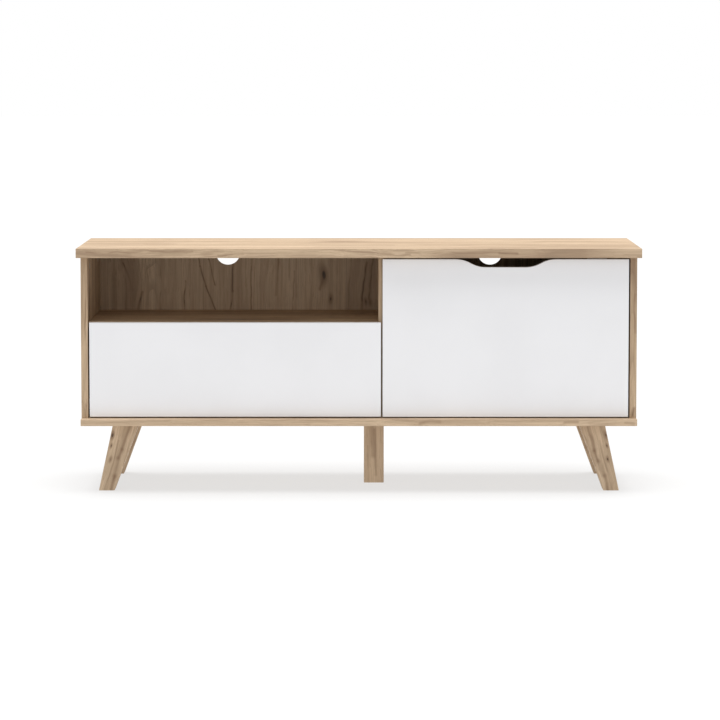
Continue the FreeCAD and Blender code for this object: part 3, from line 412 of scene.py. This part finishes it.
def shown(node, mesh, materials, pick=None):
    """Stand a finished mesh in for a node. Pick gives a face's material number. Rounded parts are
    shaded smooth, and flat faces stay even right up to their eased edges."""
    for face in mesh.faces:
        face.smooth = True
        if pick:
            face.material_index = pick(face)
    for edge in mesh.edges:
        edge.smooth = not sharp(edge, 35.0)
    data = bpy.data.meshes.new(node + "_body")
    mesh.to_mesh(data)
    mesh.free()
    loaded_normals = data.attributes.get("custom_normal")
    if loaded_normals:
        data.attributes.remove(loaded_normals)
    for material in materials:
        data.materials.append(material)
    piece = bpy.data.objects.new(node + "_body", data)
    bpy.context.collection.objects.link(piece)
    piece.modifiers.new("even_shading", "WEIGHTED_NORMAL").keep_sharp = True
    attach(piece, BODY_OF[node])
    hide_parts(node)


def board(node, grain, materials):
    """An edge-banded board with eased edges. The materials are the faces', the band's at the ends
    of the grain, and where there is a third one, the band's along the front and rear edges."""
    mesh = solid_of(node)
    ease(mesh, long_sharp(mesh), BOARD_EASE)
    across = AXES[grain]

    def finish_of(face):
        if abs(face.normal[across]) > 0.9:
            return 1
        return 2 if len(materials) > 2 and abs(face.normal.y) > 0.9 else 0

    shown(node, mesh, materials, finish_of)


def paint(node, material):
    """Give a node that keeps its own shape its finish."""
    data = frame["nodes"][node].data
    data.materials.clear()
    data.materials.append(material)


def islands(node):
    """The points of each separate solid in a node's mesh."""
    mesh = bmesh.new()
    mesh.from_mesh(frame["nodes"][node].data)
    bmesh.ops.remove_doubles(mesh, verts=mesh.verts, dist=SAME_POINT)
    waiting = set(mesh.verts)
    found = []
    while waiting:
        newest = [waiting.pop()]
        island = list(newest)
        while newest:
            near = {other for vert in newest for link in vert.link_edges for other in link.verts}
            newest = [vert for vert in near if vert in waiting]
            waiting.difference_update(newest)
            island += newest
        found.append([vert.co.copy() for vert in island])
    mesh.free()
    return sorted(found, key=lambda points: tuple(round(size, 4) for size in sum(points, Vector())))


class Fastener:
    """Where one round fastener stands: its axis from the head down, and its two radii."""

    def __init__(self, points):
        low = Vector(min(point[axis] for point in points) for axis in range(3))
        high = Vector(max(point[axis] for point in points) for axis in range(3))
        spans = high - low
        axis = max(range(3), key=lambda number: spans[number])
        middle = (low + high) / 2

        def radius_at(level):
            ring = [point for point in points if abs(point[axis] - level) < 2 * SAME_POINT]
            return max(math.hypot(*[point[n] - middle[n] for n in range(3) if n != axis]) for point in ring)

        ends = [(radius_at(low[axis]), low[axis], 1.0), (radius_at(high[axis]), high[axis], -1.0)]
        (self.head, level, sense), (self.shank, _, _) = sorted(ends, reverse=True)
        self.length = spans[axis]
        levels = sorted({round(point[axis], 6) for point in points}, key=lambda height: abs(height - level))
        self.head_height = abs(levels[1] - level) if len(levels) > 2 else 0.0
        self.start = middle.copy()
        self.start[axis] = level
        self.along = Vector(sense if number == axis else 0.0 for number in range(3))

    def frame(self):
        """The turn and move that bring a fastener drawn along +Z from the origin to its place."""
        spin = Vector((0.0, 0.0, 1.0)).rotation_difference(self.along).to_matrix().to_4x4()
        return Matrix.Translation(self.start) @ spin


def recess_outline(kind, size):
    """The outline of a driver's recess: a cross or a hexagon."""
    if kind == "hex":
        turns = [math.radians(60 * number) for number in range(6)]
        return [(size * math.cos(turn), size * math.sin(turn)) for turn in turns]
    arm = size * 0.24
    corner = [(size, -arm), (size, arm), (arm, arm)]
    outline = []
    for quarter in range(4):
        cosine = math.cos(math.radians(90 * quarter))
        sine = math.sin(math.radians(90 * quarter))
        for x, y in corner:
            outline.append((x * cosine - y * sine, x * sine + y * cosine))
    return outline


def ring_of(mesh, radius, height, steps=24):
    return [mesh.verts.new((radius * math.cos(2 * math.pi * n / steps),
                            radius * math.sin(2 * math.pi * n / steps), height)) for n in range(steps)]


def bridge(mesh, first, second):
    """Faces between two rings that have the same number of points."""
    for number in range(len(first)):
        after = (number + 1) % len(first)
        mesh.faces.new((first[number], first[after], second[after], second[number]))


def loop_edges(mesh, loop):
    """The edges round a closed loop of points, made where they are missing."""
    pairs = zip(loop, loop[1:] + loop[:1])
    return [mesh.edges.get(pair) or mesh.edges.new(pair) for pair in pairs]


def fastener_mesh(mesh, fastener, recess, pitch):
    """Add one screw, or a nail without recess, with its chamfered head and a shank ridged where there is a
    pitch.
    """
    part = bmesh.new()
    edge = min(0.25 * fastener.head_height, 0.3 * MM)
    rings = [ring_of(part, fastener.head - edge, 0.0), ring_of(part, fastener.head, edge)]
    if recess:
        depth = 0.75 * fastener.head_height
        size = 0.55 * fastener.head
        mouth = [part.verts.new((x, y, 0.0)) for x, y in recess_outline(recess, size)]
        floor = [part.verts.new((0.8 * x, 0.8 * y, depth)) for x, y in recess_outline(recess, size)]
        bridge(part, mouth, floor)
        part.faces.new(floor)
        rims = loop_edges(part, rings[0]) + loop_edges(part, mouth)
        bmesh.ops.triangle_fill(part, use_beauty=True, edges=rims)
    else:
        part.faces.new(rings[0])
    rings.append(ring_of(part, fastener.head, fastener.head_height))
    rings.append(ring_of(part, fastener.shank, fastener.head_height))
    level = fastener.head_height + pitch
    while pitch and level < fastener.length - 2 * pitch:
        rings.append(ring_of(part, 0.78 * fastener.shank, level))
        rings.append(ring_of(part, fastener.shank, level + pitch / 2))
        level += pitch
    rings.append(ring_of(part, fastener.shank, fastener.length - 1.2 * fastener.shank))
    rings.append(ring_of(part, 0.25 * fastener.shank, fastener.length))
    for first, second in zip(rings, rings[1:]):
        bridge(part, first, second)
    part.faces.new(rings[-1])
    bmesh.ops.recalc_face_normals(part, faces=part.faces)
    bmesh.ops.transform(part, matrix=fastener.frame(), verts=part.verts)
    data = bpy.data.meshes.new("one_fastener")
    part.to_mesh(data)
    part.free()
    mesh.from_mesh(data)
    bpy.data.meshes.remove(data)


def fasteners(node, material, recess, pitch):
    """Stand ridged fasteners with a driver's recess in for a node of plain ones."""
    mesh = bmesh.new()
    for points in islands(node):
        fastener_mesh(mesh, Fastener(points), recess, pitch)
    shown(node, mesh, [material])


# ---------------------------------------------------------------- the stand

def carcass():
    low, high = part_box("top_panel")
    edge = (low.z + high.z) / 2
    band_marks = [((-0.640, low.y, edge + 0.002), (-0.390, low.y, edge + 0.004), 0.0011, 0.6),
                  ((-0.330, low.y, edge - 0.004), (-0.270, low.y, edge - 0.003), 0.0018, 0.55),
                  ((0.030, low.y, edge - 0.001), (0.120, low.y, edge - 0.003), 0.0016, 0.55),
                  ((0.330, low.y, edge), (0.372, low.y, edge - 0.001), 0.0020, 0.7),
                  ((0.110, low.y, edge + 0.002), (0.330, low.y, edge + 0.001), 0.0012, 0.5)]
    top_streaks = [((-0.510, -0.030, high.z), (-0.440, -0.034, high.z), 0.0040, 0.7),
                   ((0.430, 0.060, high.z), (0.560, 0.066, high.z), 0.0040, 0.6)]
    top_oak = oak("oak_top", "x", 3.0, marks=top_streaks, contrast=1.5, lift=0.17)
    top_band = oak("oak_top_band", "x", 3.0, marks=band_marks, contrast=1.7, lift=0.34)
    cross_y = oak("oak_cross_y", "y", 11.0)
    board("top_panel", "x", [top_oak, cross_y, top_band])
    low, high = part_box("bottom_panel")
    edge = (low.z + high.z) / 2
    bottom_marks = [((0.145, low.y, edge), (0.190, low.y, edge), 0.0030, 0.6),
                    ((0.485, low.y, edge), (0.515, low.y, edge + 0.002), 0.0025, 0.6),
                    ((0.628, low.y, edge), (0.648, low.y, edge - 0.001), 0.0020, 0.5)]
    bottom_band = oak("oak_bottom_band", "x", 5.4, marks=bottom_marks, lift=0.40)
    board("bottom_panel", "x", [oak("oak_bottom", "x", 5.4, lift=0.18), cross_y, bottom_band])
    board("left_side_panel", "z", [oak("oak_left_side", "z", 7.0), cross_y])
    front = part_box("right_side_panel")[0].y
    right_marks = [((0.649, front, 0.200), (0.647, front, 0.183), 0.0025, 0.8),
                   ((0.652, front, 0.470), (0.651, front, 0.380), 0.0020, 0.5)]
    board("right_side_panel", "z", [oak("oak_right_side", "z", 8.3, marks=right_marks, lift=0.08), cross_y])
    board("divider_panel", "z", [oak("oak_divider", "z", 9.1), cross_y])
    board("niche_shelf", "x", [oak("oak_shelf", "x", 6.2), cross_y])


def back():
    """The back shows planks side by side, with the cracks and knots that stand out in the niche."""
    raw = fibreboard("raw_fibreboard")
    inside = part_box("back_panel_left")[0].y

    def crack(x_top, z_top, x_low, z_low, width=0.0020, strength=0.9):
        return (x_top, inside, z_top), (x_low, inside, z_low), width, strength

    left_cracks = [
        crack(-0.590, 0.560, -0.585, 0.380, 0.0300, 0.42), crack(-0.296, 0.560, -0.294, 0.380, 0.0120, 0.30),
        crack(-0.583, 0.520, -0.563, 0.452, 0.0018), crack(-0.575, 0.560, -0.560, 0.380, 0.0130, 0.45),
        crack(-0.538, 0.448, -0.550, 0.380, 0.0022), crack(-0.430, 0.475, -0.434, 0.390, 0.0015),
        crack(-0.398, 0.560, -0.394, 0.512, 0.0014), crack(-0.394, 0.512, -0.379, 0.462, 0.0017),
        crack(-0.379, 0.462, -0.352, 0.395, 0.0016), crack(-0.374, 0.540, -0.356, 0.465, 0.0012),
        crack(-0.312, 0.540, -0.314, 0.450, 0.0022), crack(-0.314, 0.450, -0.318, 0.390, 0.0016),
        crack(-0.267, 0.560, -0.266, 0.390, 0.0012, 0.7), crack(-0.196, 0.560, -0.203, 0.440, 0.0022, 0.7),
        crack(-0.160, 0.500, -0.163, 0.400, 0.0012, 0.6), crack(-0.088, 0.490, -0.098, 0.455, 0.0025, 0.8),
        crack(0.018, 0.520, 0.003, 0.395, 0.0024), crack(0.036, 0.540, 0.024, 0.430, 0.0018, 0.8),
        crack(0.040, 0.560, 0.020, 0.380, 0.0150, 0.30),
        crack(-0.020, 0.540, -0.028, 0.400, 0.0012, 0.55), crack(-0.490, 0.560, -0.492, 0.400, 0.0012, 0.5),
    ]
    left_knots = [((-0.089, inside, 0.490), 0.0050), ((-0.071, inside, 0.431), 0.0026),
                  ((0.016, inside, 0.424), 0.0018), ((0.026, inside, 0.422), 0.0018)]
    right_cracks = [crack(0.250, 0.480, 0.262, 0.330, 0.004), crack(0.470, 0.420, 0.462, 0.260, 0.003)]
    right_knots = [((0.310, inside, 0.300), 0.006)]
    for node, seed, cracks, knots in (("back_panel_left", 13.976, left_cracks, left_knots),
                                      ("back_panel_right", 17.0, right_cracks, right_knots)):
        mesh = solid_of(node)
        decor = oak("oak_" + node, "z", seed, planks=PLANK, knots=knots, marks=cracks,
                    contrast=1.9, lift=0.42)
        shown(node, mesh, [decor, raw], lambda face: int(face.normal.y > 0.5))


def legs():
    """Splayed legs of one blank, each with a brown heart streak and small knots by its outer edge."""
    for number, node in enumerate(("front_left_leg", "front_right_leg", "rear_left_leg", "rear_right_leg")):
        mesh = solid_of(node)
        low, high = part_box(node)
        side = math.copysign(1.0, low.x)
        near, far = sorted((abs(low.x), abs(high.x)))
        lean = side * math.atan2(LEG_SPLAY, high.z - low.z)

        def spot(across, height):
            """A place on the leg's front, from its middle line: across is positive outwards."""
            middle = (near + far) / 2 + (0.5 - height / high.z) * LEG_SPLAY
            return side * (middle + across), low.y, height

        # The heart streak's course down the leg: heights, and places across it.
        course = [(0.165, -0.0070), (0.099, -0.0020), (0.078, 0.0018), (0.036, -0.0015), (0.0, -0.0060)]
        if side > 0:
            course = [(0.165, -0.0010), (0.096, -0.0065), (0.071, -0.0045), (0.036, -0.0013), (0.0, -0.0023)]
        bends = [spot(across, height) for height, across in course]
        streaks = [(start, end, 0.0036, 0.60) for start, end in zip(bends, bends[1:])]
        streaks += [(start, end, 0.0018, 0.60) for start, end in zip(bends[:3], bends[1:3])]
        streaks += [(bends[3], bends[4], 0.0020, 0.72),
                    (spot(-0.019, 0.150), spot(-0.015, 0.060), 0.0012, 0.60),
                    (spot(0.012, 0.120), spot(0.010, 0.0), 0.0012, 0.45)]
        knots = [(spot(0.0305, 0.133), 0.0020), (spot(0.0270, 0.108), 0.0012), (spot(0.0205, 0.076), 0.0016)]
        ease(mesh, long_sharp(mesh), LEG_EASE)
        wood = oak("oak_" + node, "z", 21.0 + 1.3 * number, turn=(0.0, lean, 0.0), knots=knots,
                   marks=streaks, lift=0.30)
        shown(node, mesh, [wood])
    mesh = solid_of("centre_leg")
    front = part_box("centre_leg")[0].y
    streaks = [((0.029, front, 0.165), (0.033, front, 0.068), 0.0045, 0.60),
               ((0.037, front, 0.130), (0.040, front, 0.020), 0.0020, 0.60),
               ((0.020, front, 0.090), (0.022, front, 0.0), 0.0015, 0.5)]
    ease(mesh, long_sharp(mesh), LEG_EASE)
    # The centre leg's wood is lightened more than the other legs' (lift 0.50 against 0.30): painted light
    # that offsets the shade under the stand.
    shown("centre_leg", mesh, [oak("oak_centre_leg_lit_against_shade", "z", 31.0, marks=streaks, lift=0.50)])


def fronts():
    white = coated_white("white_front", FRONT_WHITE)
    for node in ("drawer_front", "flap_door"):
        mesh = solid_of(node)
        rear = max(vert.co.y for vert in mesh.verts)
        outline = [edge for edge in long_sharp(mesh, 0.03)
                   if all(abs(vert.co.y - rear) < SAME_POINT for vert in edge.verts)]
        ease(mesh, front_sharp(mesh) + outline, BOARD_EASE)
        shown(node, mesh, [white])


def drawer_box():
    pale = coated_white("drawer_board", DRAWER_WHITE, 0.00005, 0.5)
    for node in ("drawer_left_side", "drawer_right_side", "drawer_back"):
        mesh = solid_of(node)
        ease(mesh, long_sharp(mesh, 0.05), DRAWER_EASE, 2)
        shown(node, mesh, [pale])
    paint("drawer_bottom", coated_white("drawer_base", DRAWER_BASE_WHITE, 0.00004, 0.55))


def hardware():
    finishes = {
        "zinc_steel": metal("zinc_steel", (0.74, 0.75, 0.76), 0.40),
        "zinc_casting": metal("zinc_casting", (0.58, 0.58, 0.58), 0.50),
        "white_runner": powder_coat("white_runner", (0.78, 0.78, 0.77)),
        "grey_plastic": moulded("grey_plastic", (0.32, 0.32, 0.33)),
        "white_plastic": moulded("white_plastic", (0.78, 0.78, 0.76)),
        "beech_dowel": beech("beech_dowel"),
    }
    for node, slot in SLOT_OF.items():
        if slot in finishes:
            paint(node, finishes[slot])
    steel = finishes["zinc_steel"]
    for node in ("carcass_screws", "leg_screws"):
        fasteners(node, steel, "hex", 3.0 * MM)
    for node in ("cabinet_fitting_screws", "drawer_fitting_screws", "flap_fitting_screws"):
        fasteners(node, steel, "cross", 1.4 * MM)
    fasteners("drawer_back_screws", steel, "cross", 1.8 * MM)
    fasteners("back_panel_nails", steel, None, 0.0)
    eased = {
        "foot_glides": 0.3, "left_cabinet_roller": 0.5, "right_cabinet_roller": 0.5,
        "left_drawer_roller": 0.5, "right_drawer_roller": 0.5, "latch_housing": 0.6, "latch_plunger": 0.4,
        "latch_strike_plate": 0.25, "magnetic_catch": 0.6, "catch_strike_plate": 0.25,
        "left_hinge_leaf": 0.3, "right_hinge_leaf": 0.3, "left_hinge_base": 0.3, "right_hinge_base": 0.3,
        "stay_cabinet_bracket": 0.25, "stay_door_bracket": 0.25, "stay_upper_arm": 0.25,
        "stay_lower_arm": 0.25,
    }
    for node, width in eased.items():
        mesh = solid_of(node)
        ease(mesh, [edge for edge in mesh.edges if sharp(edge, 50.0)], width * MM, 2)
        shown(node, mesh, [finishes[SLOT_OF[node]]])


# ---------------------------------------------------------------- floor, light and camera

def stage():
    """A white light table: its own faint glow keeps the shadow under the stand pale."""
    data = bpy.data.meshes.new("studio_floor")
    corners = [(x * FLOOR_HALF, y * FLOOR_HALF, 0.0) for x, y in ((-1, -1), (1, -1), (1, 1), (-1, 1))]
    data.from_pydata(corners, [], [(0, 1, 2, 3)])
    tree = Tree("studio_floor")
    tree.set(Base_Color=(FLOOR_SHADE, FLOOR_SHADE, FLOOR_SHADE, 1.0), Roughness=0.9, Specular_IOR_Level=0.0,
             Emission_Color=(1.0, 1.0, 1.0, 1.0), Emission_Strength=FLOOR_GLOW)
    data.materials.append(tree.material)
    floor = bpy.data.objects.new("studio_floor", data)
    bpy.context.collection.objects.link(floor)


def studio_light():
    """An even white room, a very soft light from above and a weak one from the front. The room
    shows white behind the object, and lights it less strongly than it shows."""
    world = bpy.data.worlds.new("studio")
    bpy.context.scene.world = world
    world.use_nodes = True
    tree = world.node_tree
    background = tree.nodes["Background"]
    background.inputs["Color"].default_value = (1.0, 1.0, 1.0, 1.0)
    sight = tree.nodes.new("ShaderNodeLightPath")
    choose = tree.nodes.new("ShaderNodeMapRange")
    choose.inputs["To Min"].default_value = ROOM_LIGHT
    choose.inputs["To Max"].default_value = 1.0
    tree.links.new(sight.outputs["Is Camera Ray"], choose.inputs["Value"])
    tree.links.new(choose.outputs["Result"], background.inputs["Strength"])
    soft_light("overhead_light", OVERHEAD_LIGHT, OVERHEAD_WIDTH, 0.0)
    soft_light("front_light", FRONT_LIGHT, FRONT_WIDTH, FRONT_TILT)


def soft_light(name, strength, spread, tilt):
    """A wide light from above, tilted towards the front. Angles are in degrees."""
    lamp = bpy.data.lights.new(name, "SUN")
    lamp.energy = strength
    lamp.angle = math.radians(spread)
    light = bpy.data.objects.new(name, lamp)
    light.rotation_euler = (math.radians(tilt), 0.0, 0.0)
    bpy.context.collection.objects.link(light)


def camera():
    data = bpy.data.cameras.new("catalogue_camera")
    data.sensor_width = SENSOR
    data.lens = LENS
    data.shift_y = SHIFT
    data.clip_end = 200.0
    eye = bpy.data.objects.new("catalogue_camera", data)
    eye.location = EYE
    eye.rotation_euler = (math.radians(90.0 - LOOK_DOWN), 0.0, 0.0)
    bpy.context.collection.objects.link(eye)
    bpy.context.scene.camera = eye
    bpy.context.scene.view_settings.view_transform = "Standard"
    bpy.context.scene.view_settings.look = "None"


carcass()
back()
legs()
fronts()
drawer_box()
hardware()
stage()
studio_light()
camera()
